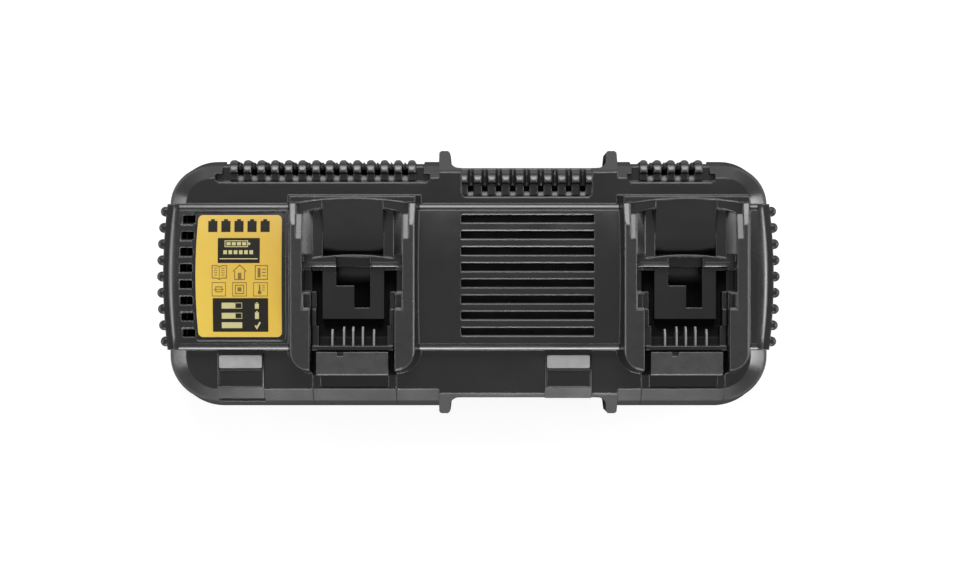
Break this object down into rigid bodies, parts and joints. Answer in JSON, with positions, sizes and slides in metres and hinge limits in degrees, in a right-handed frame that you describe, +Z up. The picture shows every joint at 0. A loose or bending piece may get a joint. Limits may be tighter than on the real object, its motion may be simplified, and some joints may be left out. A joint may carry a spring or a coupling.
{
  "type": "battery charger",
  "caption": "Mains charger for slide-on power tool battery packs: long black case with keyed pack bays, vent grille, ribbed ends, label and indicator pods.",
  "frame": {"origin": "middle of the footprint, on the surface that the feet stand on", "axes": "+Z up, +X along the case towards the bay beside the grille's far side, +Y towards the rear edge, where the packs slide in"},
  "size_m": [0.3838, 0.164, 0.084],
  "materials": {
    "case_black": "fine moulded texture",
    "insert_black": "fine moulded texture",
    "bezel_black": "satin",
    "label_yellow": "printed film",
    "lens_clear": "translucent",
    "screen_black": "pressed insulating sheet",
    "contact_tin": "tin plated",
    "foot_rubber": "matt",
    "gland_rubber": "matt",
    "screw_steel": "zinc plated",
    "board_green": "solder mask",
    "ferrite": "sintered ferrite",
    "winding_tape": "polyester tape",
    "capacitor_sleeve": "shrink sleeve",
    "sink_aluminium": "extruded",
    "epoxy_black": "moulded epoxy",
    "coil_copper": "enamelled wire on a ring core",
    "terminal_green": "moulded",
    "film_capacitor_box": "moulded",
    "connector_nylon": "moulded nylon",
    "wire_sleeve": "sleeve",
    "glass_fuse": "fuse cap"
  },
  "bodies": {
    "root": {"top_housing": "case_black", "base_housing": "case_black", "terminal_holder_left": "insert_black", "terminal_holder_right": "insert_black", "contact_blades_left": "contact_tin", "contact_blades_right": "contact_tin", "label_plate": "label_yellow", "grille_screen": "screen_black", "key_slot_cover_left": "screen_black", "key_slot_cover_right": "screen_black", "indicator_bezel_left": "bezel_black", "indicator_bezel_right": "bezel_black", "indicator_lens_left": "lens_clear", "indicator_lens_right": "lens_clear", "led_board_left": "board_green", "led_board_right": "board_green", "wire_harness_left": "wire_sleeve", "wire_harness_right": "wire_sleeve", "holder_screws": "screw_steel", "housing_screws": "screw_steel", "board_screws": "screw_steel", "rubber_feet": "foot_rubber", "cord_gland": "gland_rubber", "main_circuit_board": "board_green", "transformer_core": "ferrite", "transformer_winding": "winding_tape", "bulk_capacitors": "capacitor_sleeve", "heat_sinks": "sink_aluminium", "power_transistors": "epoxy_black", "filter_choke": "coil_copper", "output_inductors": "coil_copper", "bridge_rectifier": "epoxy_black", "mains_fuse": "glass_fuse", "mains_terminal_block": "terminal_green", "film_capacitors": "film_capacitor_box", "board_connectors": "connector_nylon"}
  },
  "joints": []
}
